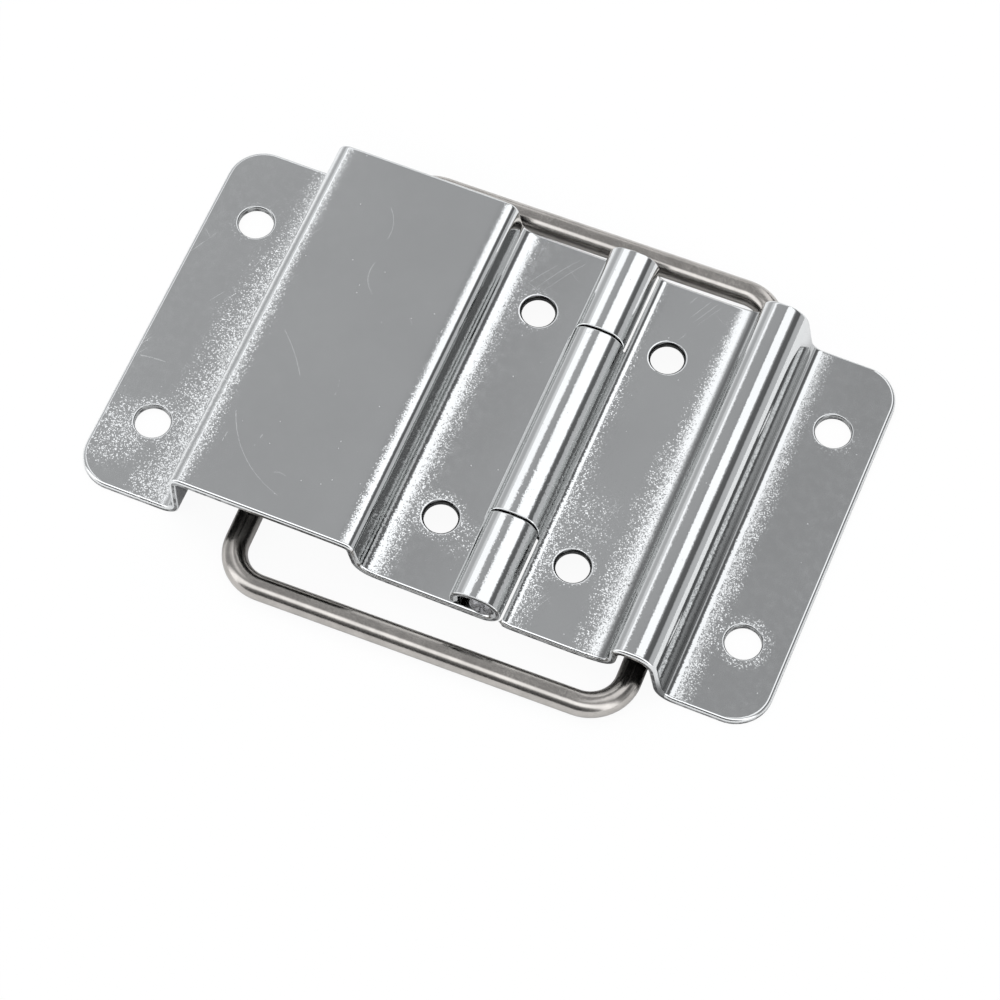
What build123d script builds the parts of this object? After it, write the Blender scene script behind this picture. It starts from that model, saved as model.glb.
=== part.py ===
from build123d import *
import os
from math import atan2, degrees, hypot, radians, tan

# Case hinge with a built-in lid stay: two folded sheet leaves, a plain pin and a closed wire ring.
# Millimetres. X runs across the leaves, Y along the pin, Z up from the surface the leaves lie on.
# x = 0 is midway between the two inner hole rows, y = 0 is the middle of the leaves.

# Sheet and outline of the leaves
SHEET = 1.2               # thickness of both leaves
LEAF_LEN = 60.0           # length of the leaves along the pin
WIDE_EDGE_X = -62.4       # outer edge of the wide leaf
NARROW_EDGE_X = 42.5      # outer edge of the narrow leaf
CORNER_R = 5.5            # outer corners of both leaves
EDGE_BEVEL = 0.3          # broken upper edges of the blanked outline
FLAT_RISE = 3.8           # underside of the inner flats above the mounting surface

# Pin and eyes
PIN_D = 3.6
PIN_RUN = 0.05            # radial running clearance of the pin
PIN_X = 0.95
PIN_CHAMFER = 0.45
STAKE_D = 1.9             # punch mark in each end of the pin
STAKE_DEPTH = 0.5
EYE_SLACK = 1.6           # how far the eyes are open beyond the pin, on the wide leaf's side
SHOULDER_R = 1.15         # mid-line radius of the eyes' left shoulders
EYE_FILLET_R = 2.0        # mid-line radius where the narrow leaf rises into its eye
TAIL_LIFT = 1.3           # open height under the tails of the end eyes
TAIL_REACH = 0.55         # how far the middle eye's tail passes under the pin axis
MIDDLE_EYE_LEN = 32.0     # length of the middle eye, seam to seam
SEAM = 0.3                # gap between neighbouring eyes
SWING_CLEAR = 0.12        # clearance of the wide leaf's notch to the swinging middle eye
LIP_CLEAR = 0.2           # clearance of the narrow leaf's cut edge to the end eyes
NOTCH_R = 0.6             # inner corners of the notches

# Channel of the wide leaf
WALL_X = -45.8            # mid-line of the channel's outer wall
ROOF_RISE = 10.0          # underside of the channel's roof above the mounting surface
STEP_X = -18.1            # mid-line of the step's wall at half its height
STEP_LEAN = 10.0          # lean of the step's wall in degrees
WALL_FOOT_R = 2.4
ROOF_R = 1.2
STEP_TOP_R = 1.3
STEP_FOOT_R = 2.4

# Ridge of the narrow leaf
RIDGE_X = 20.6            # mid-line of the ridge's inner wall at half its height
RIDGE_LEAN = 5.0
CREST_RISE = 9.2          # underside of the crest above the mounting surface
OUTER_WALL_X = 27.75      # mid-line of the ridge's outer wall where it meets the flange
OUTER_LEAN = 9.0
RIDGE_FOOT_R = 1.8
CREST_R = 1.5
OUTER_SHOULDER_R = 3.5
OUTER_FOOT_R = 2.4

# Rivet holes, two to a row
HOLE_D = 5.2
HOLE_PITCH = 36.0
HOLE_BEVEL = 0.45         # broken upper rim of the holes
WIDE_ROWS = (-55.0, -10.0)
NARROW_ROWS = (10.0, 35.7)

# Stay ring
WIRE_D = 3.7
RING_LEN = 70.0           # along Y, between wire centres
RING_BEND_R = 5.7         # to the wire's centre
RING_RIGHT_X = 22.65      # bar that turns under the ridge
RING_LEFT_X = -36.05      # bar that slides in the channel
RING_SHIFT_Y = -0.68
RING_TURN = 1.2           # the loose ring lies slightly askew, in degrees
RING_FLOOR_GAP = 0.1      # bar in the ridge above the mounting surface
RING_LEFT_LIFT = 0.45     # sliding bar higher than the turning bar
BUTT_DEPTH = 0.25         # groove where the ends of the wire meet
BUTT_W = 0.7

# Places that follow from the sizes above
HALF = SHEET / 2
FLANGE_Z = HALF
FLAT_Z = FLAT_RISE + HALF
ROOF_Z = ROOF_RISE + HALF
ROLL_R = PIN_D / 2 + PIN_RUN + HALF
PIN_Z = FLAT_Z + ROLL_R
EYE_TOP_Z = PIN_Z + ROLL_R
EYE_RIGHT_X = PIN_X + ROLL_R
EYE_LEFT_X = PIN_X - ROLL_R - EYE_SLACK + PIN_RUN
TAIL_Z = FLAT_RISE + SHEET + TAIL_LIFT
EYE_SWEEP = hypot(PIN_X - EYE_LEFT_X - SHOULDER_R, ROLL_R - SHOULDER_R) + SHOULDER_R + HALF
NOTCH_X = PIN_X - EYE_SWEEP - SWING_CLEAR
LIP_X = EYE_RIGHT_X + HALF + LIP_CLEAR
RING_RIGHT_Z = WIRE_D / 2 + RING_FLOOR_GAP
RING_LEFT_Z = RING_RIGHT_Z + RING_LEFT_LIFT
HIGH = 4 * (ROOF_RISE + SHEET)


def lean_x(x_mid, lean, z, z_mid):
    """x of a leaning wall at height z; a positive lean carries its foot towards +X."""
    return x_mid + (z_mid - z) * tan(radians(lean))


def wide_path():
    """Mid-line of the wide leaf, from its outer edge to the tail of its end eyes."""
    mid = (ROOF_Z + FLAT_Z) / 2
    run = FilletPolyline(
        (WIDE_EDGE_X, FLANGE_Z),
        (WALL_X, FLANGE_Z),
        (WALL_X, ROOF_Z),
        (lean_x(STEP_X, STEP_LEAN, ROOF_Z, mid), ROOF_Z),
        (lean_x(STEP_X, STEP_LEAN, FLAT_Z, mid), FLAT_Z),
        (PIN_X, FLAT_Z),
        radius=[WALL_FOOT_R, ROOF_R, STEP_TOP_R, STEP_FOOT_R],
    )
    roll = CenterArc((PIN_X, PIN_Z), ROLL_R, -90, 180)
    tail = FilletPolyline(
        (PIN_X, EYE_TOP_Z), (EYE_LEFT_X, EYE_TOP_Z), (EYE_LEFT_X, TAIL_Z), radius=SHOULDER_R
    )
    return run + roll + tail


def narrow_path():
    """Mid-line of the narrow leaf, from its outer edge to the tail of its middle eye."""
    crest_z = CREST_RISE + HALF
    mid = (crest_z + FLAT_Z) / 2
    run = FilletPolyline(
        (NARROW_EDGE_X, FLANGE_Z),
        (OUTER_WALL_X, FLANGE_Z),
        (lean_x(OUTER_WALL_X, OUTER_LEAN, crest_z, FLANGE_Z), crest_z),
        (lean_x(RIDGE_X, -RIDGE_LEAN, crest_z, mid), crest_z),
        (lean_x(RIDGE_X, -RIDGE_LEAN, FLAT_Z, mid), FLAT_Z),
        (EYE_RIGHT_X, FLAT_Z),
        (EYE_RIGHT_X, PIN_Z),
        radius=[OUTER_FOOT_R, OUTER_SHOULDER_R, CREST_R, RIDGE_FOOT_R, EYE_FILLET_R],
    )
    roll = CenterArc((PIN_X, PIN_Z), ROLL_R, 0, 90)
    tail = FilletPolyline(
        (PIN_X, EYE_TOP_Z),
        (EYE_LEFT_X, EYE_TOP_Z),
        (EYE_LEFT_X, FLAT_Z),
        (PIN_X + TAIL_REACH, FLAT_Z),
        radius=SHOULDER_R,
    )
    return run + roll + tail


def folded(path):
    """The folded sheet over the whole length of the leaf."""
    return extrude(Plane.XZ * trace(path, SHEET), LEAF_LEN / 2, both=True)


def round_outline(body, edge_x):
    """Rounded outer corners of the flange."""
    corners = body.edges().filter_by(Axis.Z).filter_by(lambda e: abs(e.center().X - edge_x) < 0.01)
    return fillet(corners, CORNER_R)


def drills(rows, floors):
    """Cutters for two holes in each row, at the undersides of the sheet given in floors."""
    cutters = []
    for x, z in zip(rows, floors):
        for y in (-HOLE_PITCH / 2, HOLE_PITCH / 2):
            cutters.append(Pos(x, y, z + HALF) * Cylinder(HOLE_D / 2, 4 * SHEET))
    return cutters


def gap_tool(x_from, x_to, y_from, y_to):
    """Cutter for a gap between eyes, with rounded inner corners."""
    tool = Box(x_to - x_from, y_to - y_from, HIGH)
    tool = fillet(tool.edges().filter_by(Axis.Z), NOTCH_R)
    return Pos((x_from + x_to) / 2, (y_from + y_to) / 2, HIGH / 4) * tool


def height_on_sheet(path, edge):
    """Distance of an edge from the mid-line, positive to the left of the path's direction."""
    spot = Vertex(edge.center().X, edge.center().Z, 0)
    nearest = min(path.edges(), key=lambda part: part.distance_to(spot))
    foot = nearest.distance_to_with_closest_points(spot)[1]
    along = nearest.tangent_at(foot)
    return along.X * (spot.Y - foot.Y) - along.Y * (spot.X - foot.X)


def is_hole(face):
    """True for the wall of a rivet hole."""
    return face.geom_type == GeomType.CYLINDER and abs(face.radius - HOLE_D / 2) < 1e-4


def is_sheared(face):
    """True for a face that was cut through the sheet, other than a hole."""
    if face.geom_type == GeomType.PLANE:
        normal = face.normal_at()
        return abs(normal.Y) > 0.99 or (abs(normal.X) > 0.99 and face.bounding_box().size.Z < 1.5 * SHEET)
    if face.geom_type == GeomType.CYLINDER and not is_hole(face):
        return abs(face.axis_of_rotation.direction.Z) > 0.99
    return False


def broken_edges(body, path, side):
    """The leaf with its upper rims bevelled; side is the sign of the upper side on the path."""
    for picked, bevel in ((is_hole, HOLE_BEVEL), (is_sheared, EDGE_BEVEL)):
        edges = ShapeList()
        for face in body.faces().filter_by(picked):
            for edge in face.edges():
                if side * height_on_sheet(path, edge) > 0.9 * HALF:
                    edges.append(edge)
        body = chamfer(edges, bevel)
    return body


def wide_leaf():
    """Left leaf: flange, channel, step, inner flat and the two end eyes."""
    path = wide_path()
    body = folded(path)
    middle = (MIDDLE_EYE_LEN + SEAM) / 2
    body -= gap_tool(NOTCH_X, NOTCH_X + HIGH, -middle, middle)
    body -= drills(WIDE_ROWS, (0, FLAT_RISE))
    body = round_outline(body, WIDE_EDGE_X)
    return broken_edges(body, path, 1)


def narrow_leaf():
    """Right leaf: middle eye, inner flat, ridge and outer flange."""
    path = narrow_path()
    body = folded(path)
    middle = (MIDDLE_EYE_LEN - SEAM) / 2
    for y_from, y_to in ((-LEAF_LEN, -middle), (middle, LEAF_LEN)):
        body -= gap_tool(LIP_X - HIGH, LIP_X, y_from, y_to)
    body -= drills(NARROW_ROWS, (FLAT_RISE, 0))
    body = round_outline(body, NARROW_EDGE_X)
    return broken_edges(body, path, -1)


def hinge_pin():
    """Plain pin with chamfered ends and a punch mark in each."""
    pin = Rot(X=90) * Cylinder(PIN_D / 2, LEAF_LEN)
    pin = chamfer(pin.edges().filter_by(GeomType.CIRCLE), PIN_CHAMFER)
    for turn in (0, 180):
        mark = Cone(STAKE_D / 2, STAKE_D / 6, STAKE_DEPTH, align=(Align.CENTER, Align.CENTER, Align.MIN))
        pin -= Rot(Z=turn) * Pos(0, LEAF_LEN / 2, 0) * Rot(X=90) * mark
    return Pos(PIN_X, 0, PIN_Z) * pin


def stay_ring():
    """Closed ring of round wire; its right bar is the local Y axis until it is placed."""
    span = hypot(RING_RIGHT_X - RING_LEFT_X, RING_LEFT_LIFT)
    tilt = degrees(atan2(RING_LEFT_LIFT, RING_RIGHT_X - RING_LEFT_X))
    reach = RING_LEN / 2
    side_bar = Rot(X=90) * Cylinder(WIRE_D / 2, RING_LEN - 2 * RING_BEND_R)
    end_bar = Rot(Y=90) * Cylinder(WIRE_D / 2, span - 2 * RING_BEND_R)
    bend = revolve(Plane.XZ * Pos(RING_BEND_R, 0) * Circle(WIRE_D / 2), Axis.Z, 90)
    ring = side_bar + Pos(-span, 0, 0) * side_bar
    ring += [Pos(-span / 2, y, 0) * end_bar for y in (-reach, reach)]
    inset = RING_BEND_R
    corners = ((-inset, 1), (inset - span, 1), (inset - span, -1), (-inset, -1))
    for quarter, (x, side) in enumerate(corners):
        ring += Pos(x, side * (reach - inset), 0) * Rot(Z=90 * quarter) * bend
    rim = WIRE_D / 2 + BUTT_DEPTH
    groove = Polygon((rim, -BUTT_W), (rim, BUTT_W), (rim - 2 * BUTT_DEPTH, 0), align=None)
    ring -= Pos(-span, 0, 0) * revolve(groove, Axis.Y, 360)
    return Pos(RING_RIGHT_X, RING_SHIFT_Y, RING_RIGHT_Z) * Rot(Z=RING_TURN) * Rot(Y=tilt) * ring


os.makedirs("parts", exist_ok=True)
export_step(wide_leaf(), "parts/wide_leaf.step")
export_step(narrow_leaf(), "parts/narrow_leaf.step")
export_step(hinge_pin(), "parts/hinge_pin.step")
export_step(stay_ring(), "parts/stay_ring.step")
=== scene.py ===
import math

import bmesh
import bpy
import numpy as np
from mathutils import Matrix, Vector


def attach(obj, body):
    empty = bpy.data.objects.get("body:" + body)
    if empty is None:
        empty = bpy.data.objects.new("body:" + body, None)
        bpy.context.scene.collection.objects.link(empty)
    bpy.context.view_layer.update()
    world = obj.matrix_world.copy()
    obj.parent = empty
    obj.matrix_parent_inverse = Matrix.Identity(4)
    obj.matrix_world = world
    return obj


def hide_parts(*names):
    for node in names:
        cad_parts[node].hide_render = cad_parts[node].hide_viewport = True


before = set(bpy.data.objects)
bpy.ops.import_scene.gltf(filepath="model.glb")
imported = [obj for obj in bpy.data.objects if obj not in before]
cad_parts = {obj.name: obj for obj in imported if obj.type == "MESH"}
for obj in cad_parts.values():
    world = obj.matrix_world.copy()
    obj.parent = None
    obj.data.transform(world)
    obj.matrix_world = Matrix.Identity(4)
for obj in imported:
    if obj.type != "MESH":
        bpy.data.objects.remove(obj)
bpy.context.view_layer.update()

# All lengths below are millimetres and become metres where a mesh is made.
MM = 0.001

# Camera: the photograph's viewpoint
PHOTO_PIXELS = 1000
FOCAL_PIXELS = 3740.56
SENSOR = 36.0
CAMERA_AZIMUTH = math.radians(22.647)
CAMERA_ELEVATION = math.radians(62.968)
CAMERA_DISTANCE = 535.403
CAMERA_OFFSET = (-7.852, -6.736)
CAMERA_NEAR = 10.0

# Studio: stops of (angle in degrees, brightness). STUDIO_ACROSS goes across the hinge, from straight down on
# the left over the top to straight down on the right. STUDIO_ALONG goes along it from front to back and takes
# over in front of the angles of STUDIO_TURN. STUDIO_SCALE multiplies both, because a colour ramp ends at 1.
STUDIO_ACROSS = [
    (-179, 0.22), (-104, 0.42), (-86, 0.40), (-72, 0.25), (-52, 0.25), (-45, 0.37), (-32, 0.42), (-30, 0.64),
    (-21.5, 0.64), (-19.5, 0.205), (-9, 0.203), (-6.5, 0.182), (-4, 0.18), (-2, 0.66), (31, 0.66), (34, 0.22),
    (41, 0.07), (60, 0.06), (66, 0.27), (88, 0.28), (100, 0.22), (179, 0.22),
]
STUDIO_ALONG = [
    (-90, 0.04), (-74, 0.04), (-58, 0.10), (-50, 0.24), (-44, 0.9), (-26, 0.95), (-14, 0.2), (90, 0.2),
]
STUDIO_TURN = (-12.0, 6.0)
STUDIO_SCALE = 2.0
STUDIO_TINT = (0.985, 0.995, 1.02, 1)

# Floor and lamp
FLOOR_HALF = 1500.0
FLOOR_DROP = 0.04
FLOOR_GREY = 0.86
FLOOR_GLOW = 0.94
LAMP_SIZE = 1200.0
LAMP_PLACE = (-150.0, 250.0, 1200.0)
LAMP_WATTS = 6.0

# Leaves: x runs across the hinge, y along the pin and z up from the underside of the flanges
SHEET = 1.2
HALF = SHEET / 2
LEAF_END = 30.0
FLAT_Z, ROOF_Z, CREST_Z = 4.4, 10.6, 9.8
WIDE_EDGE_X, NARROW_EDGE_X = -62.4, 42.5
CORNER_R = 5.5
CORNER_STEPS = 15

# Barrel: the eyes are rolled from the leaves, and a seam parts the middle eye from each end eye
PIN_X, ROLL_R = 0.95, 2.45
PIN_Z = FLAT_Z + ROLL_R
EYE_TOP_Z = PIN_Z + ROLL_R
EYE_RIGHT_X = PIN_X + ROLL_R
EYE_LEFT_X = -3.05
TAIL_Z = 6.3
MIDDLE = 16.0
SEAM = 0.3
NOTCH_X = -4.05
LIP_X = 4.2
GAP_R = 0.6
GAP_STEPS = 8

# Holes: rows by their x, nearer the pin than INNER_REACH on the flats and beyond it on the flanges
WIDE_HOLES, NARROW_HOLES = (-55.0, -10.0), (10.0, 35.7)
HOLE_Y = 18.0
HOLE_R = 2.6
INNER_R = 2.44
INNER_REACH = 20.0
HOLE_STEPS = 48
HOLE_CLEAR = 0.8
HOLE_TOP_Z = 5.0

# Widths of the rolled rims beside cut walls, widest along the outline
WIDEST_ROLL = 0.55
HOLE_ROLL = 0.34
INNER_ROLL = 0.48
SEAM_ROLL = 0.25
BURR_ROLL = 0.16
SEAM_ZONE = (-5.0, 4.4)
CURL_ZONE = (-4.5, 4.1)
CURL_LOW_RIGHT, CURL_LOW_LEFT = 3.9, 5.3
END_MARGIN = 0.1
RIM_MARGIN, BORE_MARGIN = 0.1, 0.3
ROLL_STEPS = 6
SHARP = math.radians(50)
WELD = 0.002

# Least cosine between two directions that count as one: cut walls that are smooth together, cut walls that a
# rolled rim follows, faces of a rim that look up, and faces at the two ends of the sheet
WALL_ALIKE, ROLL_ALIKE, LOOKS_UP, LOOKS_ALONG = 0.8, 0.5, 0.8, 0.9

# Heights between which tools cut: below everything, over a flange, over a flat, over the barrel
TOOL_LOW, TOOL_FLANGE, TOOL_FLAT, TOOL_BARREL = -3.0, 5.0, 8.0, 20.0
TOOL_PAST = 2.0
GAP_FAR_X, GAP_FAR_Y = 30.0, 60.0

# Kinds of face while a leaf is made
UNDER, CUT, TOP, ROLL = 0, 1, 2, 3

# Painted shade, as shares of the plating's colour: inside the inner and the flange holes, and under the
# leaves; on cut walls partly duller sheared steel, partly painted shade
INNER_SHADE, BORE_SHADE, CUT_STEEL_AND_SHADE, UNDER_SHADE = 0.10, 0.5, 0.45, 0.4

# Folded sections: each bend is (corner x, corner z, radius, ease before, ease after, ease length). Most of
# the turn is a tight arc and the rest, the ease, fades out over the flats beside it, as in sheet that was
# folded over a soft tool. The ease length may be left out.
EASE_LEN = 1.2
FADE_LENGTHS = 4
EASE_CUT = 0.94
MOST_CUTS = 200
NEARLY_ALL = 0.999
BEND_STEP = 0.01
COARSEST_TURN = math.radians(2.2)
FINEST_STEP = 0.012


def lean_x(x_mid, lean, z, z_mid):
    """Where a wall that leans by so many degrees, and passes x_mid at z_mid, stands at height z."""
    return x_mid + (z_mid - z) * math.tan(math.radians(lean))


ROOF_X, ROOF_RIGHT_X, ROOF_LEAN = -45.8, -18.1, 10
ROOF_MID = (ROOF_Z + FLAT_Z) / 2
RIDGE_OUTER_X, RIDGE_OUTER_LEAN = 27.75, 9
RIDGE_INNER_X, RIDGE_INNER_LEAN = 20.6, -5
RIDGE_MID = (CREST_Z + FLAT_Z) / 2

# The crown of every eye: two round shoulders with a flatter middle between them
CROWN = [
    (EYE_RIGHT_X, EYE_TOP_Z - 0.31, 2.36, 0, 0),
    (-0.05, EYE_TOP_Z + 0.11, 6.0, 0, 0),
    (EYE_LEFT_X, EYE_TOP_Z - 0.26, 2.0, 0, 0),
]
WIDE_LINE = [
    (WIDE_EDGE_X, HALF, 0, 0, 0),
    (ROOF_X, HALF, 2.4, 0.19, 0.14),
    (ROOF_X, ROOF_Z, 1.2, 0.12, 0.06),
    (lean_x(ROOF_RIGHT_X, ROOF_LEAN, ROOF_Z, ROOF_MID), ROOF_Z, 0.95, 0.32, 0.2),
    (lean_x(ROOF_RIGHT_X, ROOF_LEAN, FLAT_Z, ROOF_MID), FLAT_Z, 2.4, 0.2, 0.42, 2.0),
    (EYE_RIGHT_X, FLAT_Z, ROLL_R, 0, 0),
    *CROWN,
    (EYE_LEFT_X, TAIL_Z, 0, 0, 0),
]
NARROW_LINE = [
    (NARROW_EDGE_X, HALF, 0, 0, 0),
    (RIDGE_OUTER_X, HALF, 2.4, 0.2, 0.2),
    (lean_x(RIDGE_OUTER_X, RIDGE_OUTER_LEAN, CREST_Z, HALF), CREST_Z, 3.1, 0.05, 0.0),
    (lean_x(RIDGE_INNER_X, RIDGE_INNER_LEAN, CREST_Z, RIDGE_MID), CREST_Z, 1.5, 0.5, 0.1),
    (lean_x(RIDGE_INNER_X, RIDGE_INNER_LEAN, FLAT_Z, RIDGE_MID), FLAT_Z, 1.8, 0.1, 0.5, 2.5),
    (EYE_RIGHT_X, FLAT_Z, 2.0, 0.12, 0.1),
    *CROWN,
    (EYE_LEFT_X, FLAT_Z, 1.15, 0, 0),
    (PIN_X + 0.55, FLAT_Z, 0, 0, 0),
]

# Plating: centre across the hinge, reach and strength of the zones beside the bends where it sparkles
SPARKLE = [
    (-48.6, 7.5, 0.8), (-43.9, 1.1, 0.16), (-19.7, 1.4, 0.25), (-15.4, 3.2, 0.55), (0.4, 3.2, 0.12),
    (5.4, 4.6, 0.55), (17.0, 5.6, 0.7), (23.2, 3.4, 0.14), (30.6, 3.0, 0.5),
]
# Round patches that sparkle: centre x and y, radius of full strength, outer radius and strength
PATCHES = [
    (-59.5, -21.5, 1.0, 7.5, 0.62), (9.0, -11.0, 2.0, 13.0, 0.36), (-5.6, -20.0, 0.0, 6.0, 0.35),
]
HOLE_SPARKLE_REACH, HOLE_SPARKLE = 2.2, 0.5
CELL = 0.14
CELL_TILT = 2.3

# Scratches seen on the roof and the wide flange: both ends, sideways bow and whether broken into dots
HAIRLINES = [
    (-40.8, -2.0, -35.8, -7.9, 0.25, False), (-41.8, -16.5, -31.0, -26.5, -1.7, False),
    (-36.7, -17.6, -37.4, -21.8, 0.1, True), (-32.9, -23.4, -31.2, -23.3, 0.2, False),
    (-41.6, -22.0, -41.5, -19.8, 0.0, True), (-61.2, -8.9, -57.4, -8.5, 0.1, False),
    (-34.9, 22.4, -33.3, 17.4, 0.6, False), (-33.4, 13.1, -31.7, 8.2, -0.8, False),
    (-25.2, 6.6, -24.5, 5.9, 0.0, False), (-30.5, -6.3, -30.0, -8.9, 0.2, True),
]
# Painted shade on the outer wall of the ridge and in the fold at its inner foot: where they are across the
# hinge
SHADED_WALL_X, SHADED_WALL_HALF = 27.0, 1.6
SHADED_FOLD_X = 19.0

ZINC = (0.775, 0.785, 0.78)
NICKEL = (0.50, 0.475, 0.445)
STEEL = (0.42, 0.42, 0.43)


class Nodes:
    """Short ways to add shader nodes to a material or a world."""

    def __init__(self, owner):
        owner.use_nodes = True
        self.tree = owner.node_tree

    def add(self, kind, **settings):
        node = self.tree.nodes.new(kind)
        for key, value in settings.items():
            setattr(node, key, value)
        return node

    def link(self, value, socket):
        if isinstance(value, (int, float, tuple)):
            socket.default_value = value
        else:
            self.tree.links.new(value, socket)

    def math(self, op, a, b=0.0, c=None, clamp=False):
        node = self.add("ShaderNodeMath", operation=op, use_clamp=clamp)
        self.link(a, node.inputs[0])
        self.link(b, node.inputs[1])
        if c is not None:
            self.link(c, node.inputs[2])
        return node.outputs[0]

    def length(self, dx, dy):
        """Length of the hypotenuse over two distances."""
        squares = self.math("MULTIPLY", dx, dx), self.math("MULTIPLY", dy, dy)
        return self.math("SQRT", self.math("ADD", *squares))

    def range(self, value, a, b, lo=0.0, hi=1.0):
        """A soft step from lo at a to hi at b."""
        node = self.add("ShaderNodeMapRange", interpolation_type="SMOOTHSTEP")
        for key, v in (("Value", value), ("From Min", a), ("From Max", b), ("To Min", lo), ("To Max", hi)):
            self.link(v, node.inputs[key])
        return node.outputs[0]

    def vector(self, op, a, b):
        node = self.add("ShaderNodeVectorMath", operation=op)
        self.link(a, node.inputs[0])
        self.link(b, node.inputs["Scale" if op == "SCALE" else 1])
        return node.outputs[0]

    def split(self, vector):
        node = self.add("ShaderNodeSeparateXYZ")
        self.link(vector, node.inputs[0])
        return node.outputs


class Metal(Nodes):
    """The nodes of one metal surface, with patterns sized in millimetres."""

    def __init__(self, name):
        self.mat = bpy.data.materials.new(name)
        super().__init__(self.mat)
        self.shader = self.tree.nodes["Principled BSDF"]
        self.shader.inputs["Metallic"].default_value = 1.0
        self.place = self.add("ShaderNodeTexCoord").outputs["Object"]

    def finish(self, colour, tint, roughness, normal):
        self.link(self.vector("SCALE", colour, tint), self.shader.inputs["Base Color"])
        self.link(roughness, self.shader.inputs["Roughness"])
        self.link(normal, self.shader.inputs["Normal"])
        return self.mat

    def sized(self, size_mm, stretch=(1, 1, 1)):
        """Coordinates in which a pattern's features have the wanted size."""
        node = self.add("ShaderNodeMapping", vector_type="POINT")
        self.link(self.place, node.inputs["Vector"])
        node.inputs["Scale"].default_value = tuple(1 / MM / size_mm / k for k in stretch)
        return node.outputs[0]

    def stroke(self, start, turn, long_mm, wide_mm):
        """Coordinates along and across a line that starts at a place and is turned by an angle."""
        node = self.add("ShaderNodeMapping", vector_type="TEXTURE")
        self.link(self.place, node.inputs["Vector"])
        node.inputs["Location"].default_value = (start[0] * MM, start[1] * MM, 0)
        node.inputs["Rotation"].default_value = (0, 0, turn)
        node.inputs["Scale"].default_value = (long_mm * MM, wide_mm * MM, MM)
        return node.outputs[0]

    def noise(self, size_mm, detail=2.0, stretch=(1, 1, 1), rough=0.5):
        node = self.add("ShaderNodeTexNoise")
        node.inputs["Scale"].default_value = 1.0
        node.inputs["Detail"].default_value = detail
        node.inputs["Roughness"].default_value = rough
        self.link(self.sized(size_mm, stretch), node.inputs["Vector"])
        return node.outputs["Fac"]

    def cells(self, size_mm):
        """Small irregular cells, each with a colour of its own."""
        node = self.add("ShaderNodeTexVoronoi", feature="F1")
        node.inputs["Scale"].default_value = 1.0
        self.link(self.sized(size_mm), node.inputs["Vector"])
        return node

    def bump(self, height, depth_mm, strength=1.0, normal=None):
        node = self.add("ShaderNodeBump")
        node.inputs["Distance"].default_value = depth_mm * MM
        self.link(strength, node.inputs["Strength"])
        self.link(height, node.inputs["Height"])
        if normal is not None:
            self.link(normal, node.inputs["Normal"])
        return node.outputs[0]

    def tilt(self, normal, colour, strength):
        """Turns the surface cell by cell: most cells hardly, a few of them far enough to flash."""
        off = self.vector("SUBTRACT", colour, (0.5, 0.5, 0.5))
        off = self.vector("MULTIPLY", off, self.vector("MULTIPLY", off, off))
        off = self.vector("SCALE", off, strength)
        node = self.add("ShaderNodeVectorMath", operation="NORMALIZE")
        self.link(self.vector("ADD", normal, off), node.inputs[0])
        return node.outputs[0]

    def face_value(self, name):
        return self.add("ShaderNodeAttribute", attribute_name=name).outputs["Fac"]

    def darken(self, tint, amount):
        return self.math("MULTIPLY", tint, self.math("SUBTRACT", 1.0, amount))


def add_object(name, data):
    """Puts a mesh, a camera or a lamp into the scene."""
    obj = bpy.data.objects.new(name, data)
    bpy.context.scene.collection.objects.link(obj)
    return obj


def grey_ramp(n, angle, reach, stops):
    """Grey levels by an angle that goes from -reach to reach degrees."""
    node = n.add("ShaderNodeValToRGB")
    elements = node.color_ramp.elements
    while len(elements) > 1:
        elements.remove(elements[-1])
    for i, (at, level) in enumerate(stops):
        place = (at + reach) / (2 * reach)
        if i:
            element = elements.new(place)
        else:
            element = elements[0]
            element.position = place
        element.color = (level, level, level, 1)
    part = n.math("DIVIDE", n.math("ADD", angle, float(reach)), 2.0 * reach, clamp=True)
    n.link(part, node.inputs[0])
    return node.outputs[0]


def stage_world():
    """White to the camera; for everything else a plain studio of soft boxes and grey gaps."""
    world = bpy.data.worlds.new("studio")
    bpy.context.scene.world = world
    n = Nodes(world)
    n.tree.nodes.clear()
    x, y, z = n.split(n.add("ShaderNodeTexCoord").outputs["Generated"])  # where a ray goes
    across = n.math("DEGREES", n.math("ARCTAN2", x, z))
    along = n.math("DEGREES", n.math("ARCSINE", y))
    turn = n.add("ShaderNodeMapRange")
    n.link(along, turn.inputs["Value"])
    n.link(STUDIO_TURN[0], turn.inputs["From Min"])
    n.link(STUDIO_TURN[1], turn.inputs["From Max"])
    both = n.add("ShaderNodeMix", data_type="RGBA")
    n.link(turn.outputs[0], both.inputs["Factor"])
    n.link(grey_ramp(n, along, 90, STUDIO_ALONG), both.inputs[6])
    n.link(grey_ramp(n, across, 180, STUDIO_ACROSS), both.inputs[7])
    tinted = n.add("ShaderNodeMix", data_type="RGBA", blend_type="MULTIPLY")
    n.link(1.0, tinted.inputs["Factor"])
    n.link(both.outputs[2], tinted.inputs[6])
    n.link(STUDIO_TINT, tinted.inputs[7])
    studio = n.add("ShaderNodeBackground")
    n.link(STUDIO_SCALE, studio.inputs["Strength"])
    n.link(tinted.outputs[2], studio.inputs["Color"])
    white = n.add("ShaderNodeBackground")
    n.link((1, 1, 1, 1), white.inputs["Color"])
    pick = n.add("ShaderNodeMixShader")
    n.link(n.add("ShaderNodeLightPath").outputs["Is Camera Ray"], pick.inputs[0])
    n.link(studio.outputs[0], pick.inputs[1])
    n.link(white.outputs[0], pick.inputs[2])
    n.link(pick.outputs[0], n.add("ShaderNodeOutputWorld").inputs["Surface"])


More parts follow.
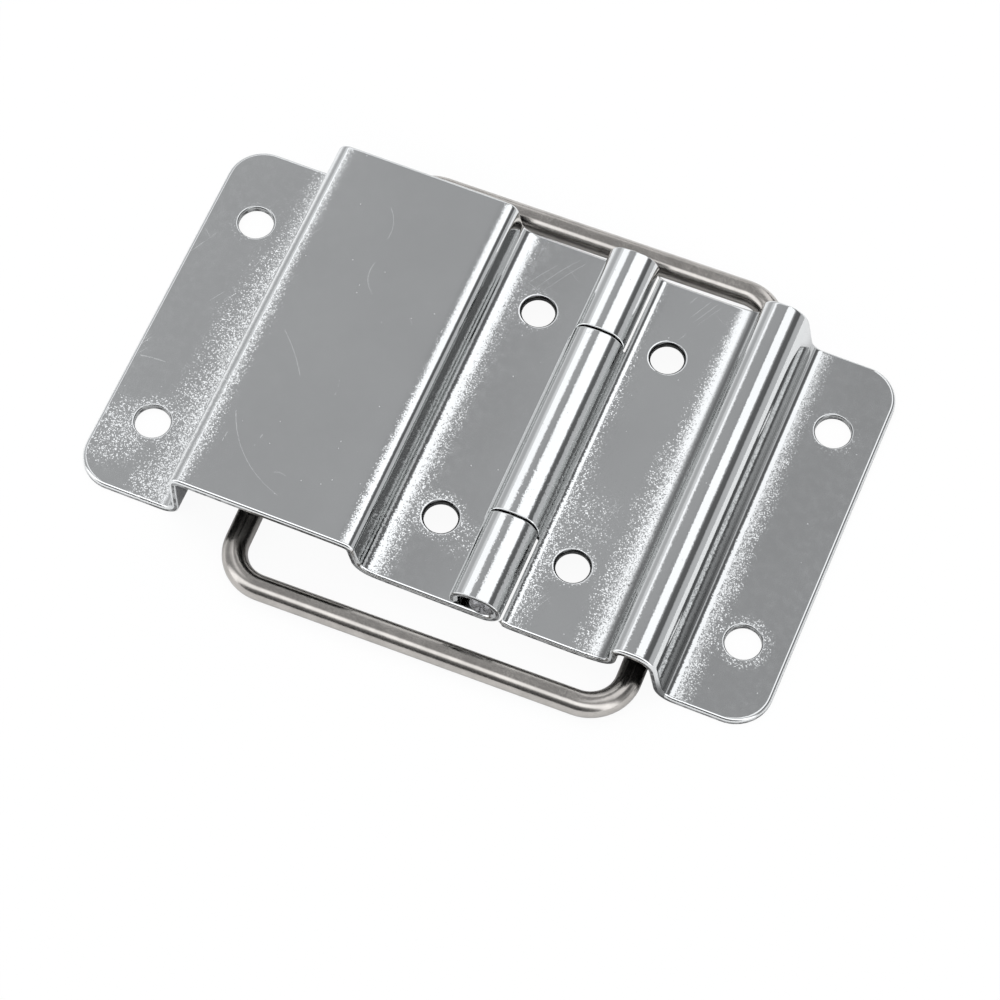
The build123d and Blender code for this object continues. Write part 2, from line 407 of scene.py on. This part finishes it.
def camera():
    """The photograph's viewpoint."""
    a, e = CAMERA_AZIMUTH, CAMERA_ELEVATION
    back = Vector((math.sin(a) * math.cos(e), -math.cos(a) * math.cos(e), math.sin(e)))
    right = Vector((math.cos(a), math.sin(a), 0))
    up = back.cross(right)
    data = bpy.data.cameras.new("camera")
    data.sensor_width = SENSOR
    data.lens = FOCAL_PIXELS * SENSOR / PHOTO_PIXELS
    data.clip_start = CAMERA_NEAR * MM
    obj = add_object("camera", data)
    place = (right * CAMERA_OFFSET[0] + up * CAMERA_OFFSET[1] + back * CAMERA_DISTANCE) * MM
    obj.matrix_world = Matrix.Translation(place) @ Matrix((right, up, back)).transposed().to_4x4()
    bpy.context.scene.camera = obj


def floor():
    """A large floor just under the leaves, nearly white to the camera, with their soft shadow on it."""
    mesh = bpy.data.meshes.new("floor")
    s = FLOOR_HALF * MM
    mesh.from_pydata([(-s, -s, 0), (s, -s, 0), (s, s, 0), (-s, s, 0)], [], [(0, 1, 2, 3)])
    obj = add_object("floor", mesh)
    obj.location.z = -FLOOR_DROP * MM
    mat = bpy.data.materials.new("floor")
    n = Nodes(mat)
    n.tree.nodes.clear()
    diffuse = n.add("ShaderNodeBsdfDiffuse")
    n.link((FLOOR_GREY, FLOOR_GREY, FLOOR_GREY, 1), diffuse.inputs["Color"])
    glow = n.add("ShaderNodeEmission")
    n.link((1, 1, 1, 1), glow.inputs["Color"])
    share = n.math("MULTIPLY", n.add("ShaderNodeLightPath").outputs["Is Camera Ray"], FLOOR_GLOW)
    mix = n.add("ShaderNodeMixShader")
    n.link(share, mix.inputs[0])
    n.link(diffuse.outputs[0], mix.inputs[1])
    n.link(glow.outputs[0], mix.inputs[2])
    n.link(mix.outputs[0], n.add("ShaderNodeOutputMaterial").inputs["Surface"])
    mesh.materials.append(mat)


def lamp():
    """One broad overhead lamp for the floor and its soft shadow."""
    data = bpy.data.lights.new("overhead", "AREA")
    data.shape = "DISK"
    data.size = LAMP_SIZE * MM
    data.energy = LAMP_WATTS
    obj = add_object("overhead", data)
    obj.location = Vector(LAMP_PLACE) * MM
    obj.rotation_euler = (-obj.location).to_track_quat("-Z", "Y").to_euler()
    obj.visible_glossy = False


def bend(turn, radius, ease, before, after, length):
    """Headings and places through one bend, about the corner where its two flats would meet."""
    core = radius * abs(turn) / 2
    u = np.linspace(-before, after, int((before + after) / BEND_STEP) + 2)
    tight = np.clip(u / core, -1, 1)
    soft = np.sign(u) * (1 - np.exp(-np.abs(u) / length))
    part = np.where(u < 0, ease[0], ease[1])
    share = (1 - part) * tight + part * soft
    share = np.where(u < 0, -share / share[0], share / share[-1])
    heading = turn / 2 * share
    du = np.diff(u)
    mid = (heading[1:] + heading[:-1]) / 2
    x = np.concatenate([[0], np.cumsum(np.cos(mid) * du)])
    z = np.concatenate([[0], np.cumsum(np.sin(mid) * du)])
    # the two flats through the ends of the bend meet at the corner
    a = np.array([math.cos(-turn / 2), math.sin(-turn / 2)])
    b = np.array([math.cos(turn / 2), math.sin(turn / 2)])
    end = np.array([x[-1], z[-1]])
    first, second = np.linalg.solve(np.array([[a[0], b[0]], [a[1], b[1]]]), end)
    return heading, np.stack([x, z], 1) - a * first, first, second


def fitted_bends(line, turns, lens):
    """Every bend of a line, with its eases shortened until neighbours leave each other room."""
    inner = range(1, len(line) - 1)
    cores = [bend_at[2] * abs(turn) / 2 for bend_at, turn in zip(line, turns)]
    longs = [bend_at[5] if len(bend_at) > 5 else EASE_LEN for bend_at in line]
    reach = [[0.0, 0.0]]
    for i in inner:
        reach.append([cores[i] + (FADE_LENGTHS * longs[i] if part else 0.0) for part in line[i][3:5]])
    for _ in range(MOST_CUTS):
        made = [None] + [bend(turns[i], line[i][2], line[i][3:5], *reach[i], longs[i]) for i in inner]
        crowded = []
        for i in inner[:-1]:
            eased = line[i][4] or line[i + 1][3]
            if eased and made[i][3] + made[i + 1][2] > lens[i] * NEARLY_ALL:
                crowded.append(i)
        if not crowded:
            break
        for i in crowded:
            reach[i][1] = cores[i] + (reach[i][1] - cores[i]) * EASE_CUT
            reach[i + 1][0] = cores[i + 1] + (reach[i + 1][0] - cores[i + 1]) * EASE_CUT
    return made


def section(line, hole_rows):
    """Places and headings along the middle of a folded sheet, finest where it turns, none at a hole."""
    pts = [np.array(p[:2], float) for p in line]
    legs = [pts[i + 1] - pts[i] for i in range(len(pts) - 1)]
    lens = [float(np.linalg.norm(v)) for v in legs]
    heads = [math.atan2(v[1], v[0]) for v in legs]
    turns = [0.0]
    for i in range(1, len(pts) - 1):
        turns.append((heads[i] - heads[i - 1] + math.pi) % (2 * math.pi) - math.pi)
    made = fitted_bends(line, turns, lens)
    places, headings = [pts[0]], [heads[0]]
    for i in range(1, len(pts) - 1):
        heading, local, _, _ = made[i]
        base = heads[i - 1] + turns[i] / 2
        c, s = math.cos(base), math.sin(base)
        world = local @ np.array([[c, s], [-s, c]]) + pts[i]
        last = None
        for k in range(len(heading)):
            coarse = last is not None and abs(heading[k] - last) <= COARSEST_TURN and k < len(heading) - 1
            if coarse or np.linalg.norm(world[k] - places[-1]) < FINEST_STEP:
                continue
            at_hole = any(abs(world[k][0] - x) < HOLE_R + HOLE_CLEAR for x in hole_rows)
            if at_hole and world[k][1] < HOLE_TOP_Z:
                continue
            places.append(world[k])
            headings.append(base + heading[k])
            last = heading[k]
    places.append(pts[-1])
    headings.append(heads[-1])
    return np.array(places), np.unwrap(headings)


def left_of(headings):
    """Directions square to a path, on its left."""
    return np.stack([-np.sin(headings), np.cos(headings)], 1)


def folded_sheet(name, places, headings, upper, marks):
    """The folded sheet as a closed prism along y; upper is the sign of its upper side on the path."""
    normal = left_of(headings)
    ring = np.concatenate([places + normal * HALF, (places - normal * HALF)[::-1]])
    n, half = len(ring), len(places)
    mesh = bpy.data.meshes.new(name)
    for mat in marks:
        mesh.materials.append(mat)
    verts = [(x * MM, y * MM, z * MM) for y in (-LEAF_END, LEAF_END) for x, z in ring]
    walls = [(i, (i + 1) % n, n + (i + 1) % n, n + i) for i in range(n)]
    left, right = (TOP, UNDER) if upper > 0 else (UNDER, TOP)
    kinds = [left] * (half - 1) + [CUT] + [right] * (half - 1) + [CUT]
    strips = [(i, i + 1, n - 2 - i, n - 1 - i) for i in range(half - 1)]
    near = [tuple(reversed(strip)) for strip in strips]
    far = [tuple(n + k for k in strip) for strip in strips]
    mesh.from_pydata(verts, [], walls + near + far)
    for p, kind in zip(mesh.polygons, kinds + [CUT] * len(near + far)):
        p.material_index = kind
    bm = bmesh.new()
    bm.from_mesh(mesh)
    bmesh.ops.recalc_face_normals(bm, faces=bm.faces)
    for sign in (1, -1):
        bmesh.ops.dissolve_faces(bm, faces=[f for f in bm.faces if f.normal.y * sign > LOOKS_ALONG])
    bm.to_mesh(mesh)
    bm.free()
    return add_object(name, mesh)


def plan_tool(name, outline, z_high):
    """Closed prism over a plan outline, from below the leaf up to z_high."""
    n = len(outline)
    verts = [(x * MM, y * MM, z * MM) for z in (TOOL_LOW, z_high) for x, y in outline]
    faces = [tuple(range(n))[::-1], tuple(range(n, 2 * n))]
    faces += [(i, (i + 1) % n, n + (i + 1) % n, n + i) for i in range(n)]
    mesh = bpy.data.meshes.new(name)
    mesh.from_pydata(verts, [], faces)
    return add_object(name, mesh)


def arc_points(cx, cy, r, a0, a1, count):
    """Points of an arc in plan, angles in degrees."""
    out = []
    for k in range(count + 1):
        t = math.radians(a0 + (a1 - a0) * k / count)
        out.append((cx + r * math.cos(t), cy + r * math.sin(t)))
    return out


def rounded_box(x0, x1, y0, y1, r, count):
    """Plan outline of a box with round corners, from the corner at lowest x and y."""
    corners = ((x0, y0, 180, 1, 1), (x1, y0, 270, -1, 1), (x1, y1, 0, -1, -1), (x0, y1, 90, 1, -1))
    out = []
    for x, y, a, sx, sy in corners:
        out += arc_points(x + sx * r, y + sy * r, r, a, a + 90, count)
    return out


def apply_modifiers(obj):
    """Turns what a piece's modifiers show into its own mesh."""
    depsgraph = bpy.context.evaluated_depsgraph_get()
    mesh = bpy.data.meshes.new_from_object(obj.evaluated_get(depsgraph))
    old = obj.data
    obj.modifiers.clear()
    obj.data = mesh
    bpy.data.meshes.remove(old)


def carve(obj, tool):
    """Takes a tool's shape out of the sheet."""
    mod = obj.modifiers.new("carve", "BOOLEAN")
    mod.operation = "DIFFERENCE"
    mod.object = tool
    mod.solver = "EXACT"
    apply_modifiers(obj)
    gone = tool.data
    bpy.data.objects.remove(tool)
    bpy.data.meshes.remove(gone)


def hole_row(spot, hole_rows, margin):
    """The row of the hole that has its rim within a margin of the spot, or None."""
    for x in hole_rows:
        if any(math.hypot(spot.x - x, spot.y - y) < HOLE_R + margin for y in (-HOLE_Y, HOLE_Y)):
            return x
    return None


def at_seam(spot):
    """True beside the seams and notches of the barrel."""
    return SEAM_ZONE[0] < spot.x < SEAM_ZONE[1] and abs(spot.y) < LEAF_END - END_MARGIN


def curled(spot):
    """True in the end eyes, where the sheet has turned over and its underside faces out."""
    lowest = CURL_LOW_RIGHT if spot.x > PIN_X else CURL_LOW_LEFT
    return abs(spot.y) > MIDDLE and CURL_ZONE[0] < spot.x < CURL_ZONE[1] and spot.z > lowest


def rim_width(spot, hole_rows):
    """Width of the rolled rim beside a cut wall."""
    row = hole_row(spot, hole_rows, RIM_MARGIN)
    if row is not None:
        return HOLE_ROLL if abs(row) > INNER_REACH else INNER_ROLL
    return SEAM_ROLL if at_seam(spot) else WIDEST_ROLL


def roll_rims(obj, hole_rows):
    """Rounds the upper rims of the sheared edges and of the holes, and breaks the lower ones."""
    mesh = obj.data
    bm = bmesh.new()
    bm.from_mesh(mesh)
    bmesh.ops.remove_doubles(bm, verts=bm.verts, dist=WELD * MM)
    bmesh.ops.dissolve_degenerate(bm, edges=bm.edges, dist=WELD * MM)
    layer = bm.edges.layers.float.new("bevel_weight_edge")
    for e in bm.edges:
        if len(e.link_faces) != 2:
            continue
        f, g = e.link_faces
        if f.normal.angle(g.normal, 0) < SHARP or CUT not in (f.material_index, g.material_index):
            continue
        other = g if f.material_index == CUT else f
        spot = (e.verts[0].co + e.verts[1].co) / 2 / MM
        width = rim_width(spot, hole_rows) if other.material_index == TOP or at_seam(spot) else BURR_ROLL
        e[layer] = width / WIDEST_ROLL
    bm.to_mesh(mesh)
    bm.free()
    mod = obj.modifiers.new("roll", "BEVEL")
    mod.limit_method = "WEIGHT"
    mod.width = WIDEST_ROLL * MM
    mod.segments = ROLL_STEPS
    mod.material = ROLL
    mod.use_clamp_overlap = False
    mod.loop_slide = True
    mod.miter_outer = "MITER_SHARP"
    mod.harden_normals = False
    apply_modifiers(obj)


def fold_normals(points, places, headings, sign):
    """Normals of one side of the folded sheet, each from the nearest stretch of its section."""
    side = places + left_of(headings) * HALF * sign
    a, b = side[:-1], side[1:]
    ab = b - a
    size = np.maximum((ab ** 2).sum(1), 1e-12)
    out = np.zeros((len(points), 3))
    batch = 2000
    for k in range(0, len(points), batch):
        q = points[k:k + batch, None, :]
        t = np.clip(((q - a) * ab).sum(2) / size, 0, 1)
        best = ((a + ab * t[:, :, None] - q) ** 2).sum(2).argmin(1)
        part = t[np.arange(len(best)), best]
        heading = headings[best] + (headings[best + 1] - headings[best]) * part
        out[k:k + batch, [0, 2]] = left_of(heading) * sign
    return out


def smooth_normals(mesh, places, headings, upper):
    """Normals of the folded sides straight from the section, and the rolled rims blended to them."""
    points = np.array([(v.co.x, v.co.z) for v in mesh.vertices]) / MM
    sides = {
        TOP: fold_normals(points, places, headings, upper),
        UNDER: fold_normals(points, places, headings, -upper),
    }
    touches = [set() for _ in mesh.vertices]
    walls = [[] for _ in mesh.vertices]
    rims = np.zeros((len(points), 3))
    for p in mesh.polygons:
        own = np.array(p.normal)
        for v in p.vertices:
            touches[v].add(p.material_index)
            if p.material_index == CUT:
                walls[v].append(own)
            if p.material_index == ROLL:
                rims[v] += own * p.area

    def corner_normal(v, kind, own):
        """The direction for a face's corner: of its fold, its cut wall or what its rim rolls into."""
        if kind in sides:
            return sides[kind][v]
        if kind == CUT:
            near = [wall for wall in walls[v] if wall @ own > WALL_ALIKE]
            return sum(near) if near else own
        for side in (TOP, UNDER):
            if side in touches[v]:
                return sides[side][v]
        near = [wall for wall in walls[v] if wall @ own > ROLL_ALIKE]
        return sum(near) if near else rims[v]

    result = np.zeros((len(mesh.loops), 3))
    for p in mesh.polygons:
        p.use_smooth = True
        own = np.array(p.normal)
        for i in p.loop_indices:
            n = corner_normal(mesh.loops[i].vertex_index, p.material_index, own)
            size = np.linalg.norm(n)
            result[i] = n / size if size > 1e-9 else own
    return result


def mark_faces(mesh, hole_rows):
    """Writes on each face its share of painted shade (on cut walls partly duller sheared steel), and whether
    it was sheared.
    """
    shade = mesh.attributes.new("shade", "FLOAT", "FACE")
    sheared = mesh.attributes.new("sheared", "FLOAT", "FACE")
    for p in mesh.polygons:
        kind = p.material_index
        spot = p.center / MM
        row = hole_row(spot, hole_rows, BORE_MARGIN)
        tone = 1.0
        # Painted shade: hole bores and the sideways faces of their rims, darkest in the inner holes; cut
        # walls, partly duller sheared steel; undersides outside the curled eyes
        if row is not None and (kind == CUT or (kind == ROLL and p.normal.z < LOOKS_UP)):
            tone = INNER_SHADE if abs(row) < INNER_REACH else BORE_SHADE
        elif kind == CUT:
            tone = CUT_STEEL_AND_SHADE
        elif kind == UNDER and not curled(spot):
            tone = UNDER_SHADE
        shade.data[p.index].value = tone
        sheared.data[p.index].value = 1.0 if kind == CUT else 0.0


def corner_tool(edge_x, sy):
    """What is cut away outside one round corner of a leaf's free edge."""
    sx = 1 if edge_x < 0 else -1
    cx, cy = edge_x + sx * CORNER_R, sy * (LEAF_END - CORNER_R)
    past_x, past_y = edge_x - sx * TOOL_PAST, sy * (LEAF_END + TOOL_PAST)
    outline = []
    for a in np.linspace(0, 90, CORNER_STEPS):
        t = math.radians(a)
        outline.append((cx - sx * CORNER_R * math.cos(t), cy + sy * CORNER_R * math.sin(t)))
    outline += [(cx, past_y), (past_x, past_y), (past_x, cy)]
    return plan_tool("corner", outline[::-1] if sx * sy < 0 else outline, TOOL_FLANGE)


def hole_tool(x, y):
    """The round punch of one hole."""
    r = HOLE_R if abs(x) > INNER_REACH else INNER_R
    return plan_tool("hole", arc_points(x, y, r, 0, 360 - 360 / HOLE_STEPS, HOLE_STEPS - 1), TOOL_FLAT)


def leaf(name, node, body, line, upper, edge_x, hole_rows, gaps):
    """One leaf, made as it is folded, then drilled, trimmed and rolled at its rims."""
    marks = [bpy.data.materials.new(k) for k in ("under", "cut", "top", "rolled")]
    places, headings = section(line, hole_rows)
    obj = folded_sheet(name, places, headings, upper, marks)
    tools = [corner_tool(edge_x, sy) for sy in (-1, 1)]
    tools += [hole_tool(x, y) for x in hole_rows for y in (-HOLE_Y, HOLE_Y)]
    tools += [plan_tool("gap", rounded_box(*gap, GAP_R, GAP_STEPS), TOOL_BARREL) for gap in gaps]
    for tool in tools:
        tool.data.materials.append(marks[CUT])
    for tool in tools:
        carve(obj, tool)
    mesh = obj.data
    kinds = {"cut": CUT, "top": TOP}
    remap = [kinds.get(mat.name[:3] if mat else "", UNDER) for mat in mesh.materials]
    for p in mesh.polygons:
        p.material_index = remap[p.material_index]
    while len(mesh.materials) < len(marks):
        mesh.materials.append(marks[ROLL])
    roll_rims(obj, hole_rows)
    mesh = obj.data
    normals = smooth_normals(mesh, places, headings, upper)
    mark_faces(mesh, hole_rows)
    mesh.normals_split_custom_set([tuple(v) for v in normals])
    mesh.materials.clear()
    mesh.materials.append(PLATING)
    for p in mesh.polygons:
        p.material_index = 0
    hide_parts(node)
    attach(obj, body)


def scratches(n, size_mm, stretch, turn, thin):
    """Long thin lines: a noise stretched along one direction and cut to a narrow band."""
    node = n.add("ShaderNodeTexNoise")
    node.inputs["Scale"].default_value = 1.0
    node.inputs["Detail"].default_value = 0.0
    node.inputs["Distortion"].default_value = 0.6
    n.link(n.stroke((0, 0), math.radians(turn), size_mm * stretch, size_mm), node.inputs["Vector"])
    gap = n.math("ABSOLUTE", n.math("SUBTRACT", node.outputs["Fac"], 0.5))
    return n.range(gap, 0.0, thin, 1.0, 0.0)


def hairline(n, x0, y0, x1, y1, bow, broken):
    """One scratch from end to end, bowed sideways, whole or broken into dots."""
    turn, length = math.atan2(y1 - y0, x1 - x0), math.hypot(x1 - x0, y1 - y0)
    u, v, z = n.split(n.stroke((x0, y0), turn, length, 1))
    curve = n.math("MULTIPLY", n.math("MULTIPLY", u, n.math("SUBTRACT", 1.0, u)), 4.0 * bow)
    line = n.range(n.math("ABSOLUTE", n.math("SUBTRACT", v, curve)), 0.02, 0.10, 1.0, 0.0)
    line = n.math("MULTIPLY", line, n.math("COMPARE", u, 0.5, 0.5))
    line = n.math("MULTIPLY", line, n.math("GREATER_THAN", z, 0.6))
    if broken:
        line = n.math("MULTIPLY", line, n.range(n.noise(0.7, 1.0), 0.50, 0.56))
    return n.math("MULTIPLY", line, 0.5)


def plating_peel(n, x, y):
    """How rough the plating's orange peel is: most beside bends and holes and in a few patches."""
    peel = None
    for centre, reach, amount in SPARKLE:
        near = n.range(n.math("ABSOLUTE", n.math("SUBTRACT", x, centre)), 0.0, reach, amount, 0.0)
        peel = near if peel is None else n.math("MAXIMUM", peel, near)
    off_row = n.math("SUBTRACT", n.math("ABSOLUTE", y), HOLE_Y)
    for row in WIDE_HOLES + NARROW_HOLES:
        away = n.length(n.math("SUBTRACT", x, row), off_row)
        rim = n.range(away, HOLE_R, HOLE_R + HOLE_SPARKLE_REACH, HOLE_SPARKLE, 0.0)
        peel = n.math("MAXIMUM", peel, rim)
    for cx, cy, full, none, amount in PATCHES:
        away = n.length(n.math("SUBTRACT", x, cx), n.math("SUBTRACT", y, cy))
        peel = n.math("MAXIMUM", peel, n.range(away, full, none, amount, 0.0))
    patchy = n.range(n.noise(7.0, 3.0), 0.35, 0.65, 0.55, 1.0)
    low_half = n.range(y, 25.0, -16.0, 0.15, 1.0)
    return n.math("ADD", n.math("MULTIPLY", n.math("MULTIPLY", peel, patchy), low_half), 0.03)


def plating_marks(n):
    """Fine scratches in two directions, the hairlines and small specks: the scratches, then all of them."""
    lines = n.math("MAXIMUM", scratches(n, 2.2, 14, 62, 0.0035), scratches(n, 3.0, 9, -38, 0.0025))
    lines = n.math("MULTIPLY", lines, n.range(n.noise(9.0, 2.0), 0.60, 0.70, 0.0, 0.5))
    for mark in HAIRLINES:
        lines = n.math("MAXIMUM", lines, hairline(n, *mark))
    dots = n.cells(1.3)
    chosen = n.range(n.split(dots.outputs["Color"])[0], 0.78, 0.80)
    specks = n.math("MULTIPLY", n.range(dots.outputs["Distance"], 0.05, 0.09, 1.0, 0.0), chosen)
    return lines, n.math("MAXIMUM", lines, specks)


def plating_tint(n, x, y, z, sheared):
    """Brightness of the plating: clouded, darker to the right, with painted shade on the ridge's outer wall
    and foot and on the faces marked with shade.
    """
    tint = n.range(n.noise(14.0, 2.0), 0.3, 0.7, 0.975, 1.015)
    tint = n.math("MULTIPLY", tint, n.range(x, 16.0, 34.0, 1.0, 0.92))
    # Painted shade low on the ridge's outer wall, deeper towards the near end
    wall = n.range(z, 2.4, 6.6, n.range(y, -20.0, 26.0, 0.74, 0.25), 0.0)
    tint = n.darken(tint, n.math("MULTIPLY", wall, n.math("COMPARE", x, SHADED_WALL_X, SHADED_WALL_HALF)))
    # Painted shade along the fold at the ridge's inner foot, below z 7.5
    fold = n.range(n.math("ABSOLUTE", n.math("SUBTRACT", x, SHADED_FOLD_X)), 0.2, 0.95, 0.62, 0.0)
    tint = n.darken(tint, n.math("MULTIPLY", fold, n.math("LESS_THAN", z, 7.5)))
    torn = n.range(n.noise(1.1, 3.0, rough=0.7), 0.42, 0.56, 0.8, 0.0)
    tint = n.darken(tint, n.math("MULTIPLY", sheared, torn))
    # Painted shade on holes, undersides and cut walls, read from each face's shade value
    return n.math("MULTIPLY", tint, n.face_value("shade"))


def plating():
    """Bright zinc plating: orange peel that sparkles beside the bends, fine scratches and small marks."""
    n = Metal("leaf_plating")
    x, y, z = (n.math("MULTIPLY", part, 1 / MM) for part in n.split(n.place))
    peel = plating_peel(n, x, y)
    sheared = n.face_value("sheared")
    lines, marks = plating_marks(n)
    normal = n.bump(n.noise(2.2, 2.0), 0.003, 1.0)
    normal = n.bump(n.noise(0.5, 1.0, stretch=(1, 9, 1)), 0.0012, 0.8, normal)
    normal = n.bump(n.noise(0.25, 1.0, rough=0.6), 0.007, peel, normal)
    normal = n.bump(n.noise(0.3, 2.0, stretch=(1, 1, 3)), 0.06, sheared, normal)
    normal = n.bump(lines, 0.006, 0.6, normal)
    normal = n.tilt(normal, n.cells(CELL).outputs["Color"], n.math("MULTIPLY", peel, CELL_TILT))
    gloss = n.range(n.noise(1.3, 4.0), 0.3, 0.7, 0.055, 0.095)
    gloss = n.math("ADD", gloss, n.math("MULTIPLY", marks, 0.3))
    return n.finish(ZINC, plating_tint(n, x, y, z, sheared), gloss, normal)


def wire():
    """Satin nickel on drawn wire."""
    n = Metal("wire_plating")
    grain = n.noise(0.22, 3.0, rough=0.6)
    patch = n.noise(2.5, 3.0)
    tint = n.math("MULTIPLY", n.range(patch, 0.3, 0.7, 0.88, 1.06), n.range(grain, 0.3, 0.7, 0.95, 1.04))
    return n.finish(NICKEL, tint, n.range(grain, 0.25, 0.75, 0.15, 0.24), n.bump(grain, 0.006, 0.6))


def steel():
    """Cut steel of the pin, dull at its staked ends."""
    n = Metal("pin_steel")
    grain = n.noise(0.35, 4.0, rough=0.7)
    tint = n.range(grain, 0.3, 0.7, 0.5, 1.15)
    return n.finish(STEEL, tint, n.range(grain, 0.3, 0.7, 0.22, 0.42), n.bump(grain, 0.06, 0.8))


def dress(node, mat):
    """Gives a carried-over piece its finish."""
    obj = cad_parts[node]
    obj.data.materials.clear()
    obj.data.materials.append(mat)


stage_world()
camera()
floor()
lamp()
PLATING = plating()
NOTCH_Y = MIDDLE + SEAM / 2
END_EYE_Y = MIDDLE - SEAM / 2
leaf(
    "wide_leaf_rolled", "wide_leaf", "wide", WIDE_LINE, 1, WIDE_EDGE_X, WIDE_HOLES,
    [(NOTCH_X, GAP_FAR_X, -NOTCH_Y, NOTCH_Y)],
)
leaf(
    "narrow_leaf_rolled", "narrow_leaf", "narrow", NARROW_LINE, -1, NARROW_EDGE_X, NARROW_HOLES,
    [(-GAP_FAR_X, LIP_X, -GAP_FAR_Y, -END_EYE_Y), (-GAP_FAR_X, LIP_X, END_EYE_Y, GAP_FAR_Y)],
)
dress("hinge_pin", steel())
dress("stay_ring", wire())
bpy.context.scene.view_settings.view_transform = "Standard"
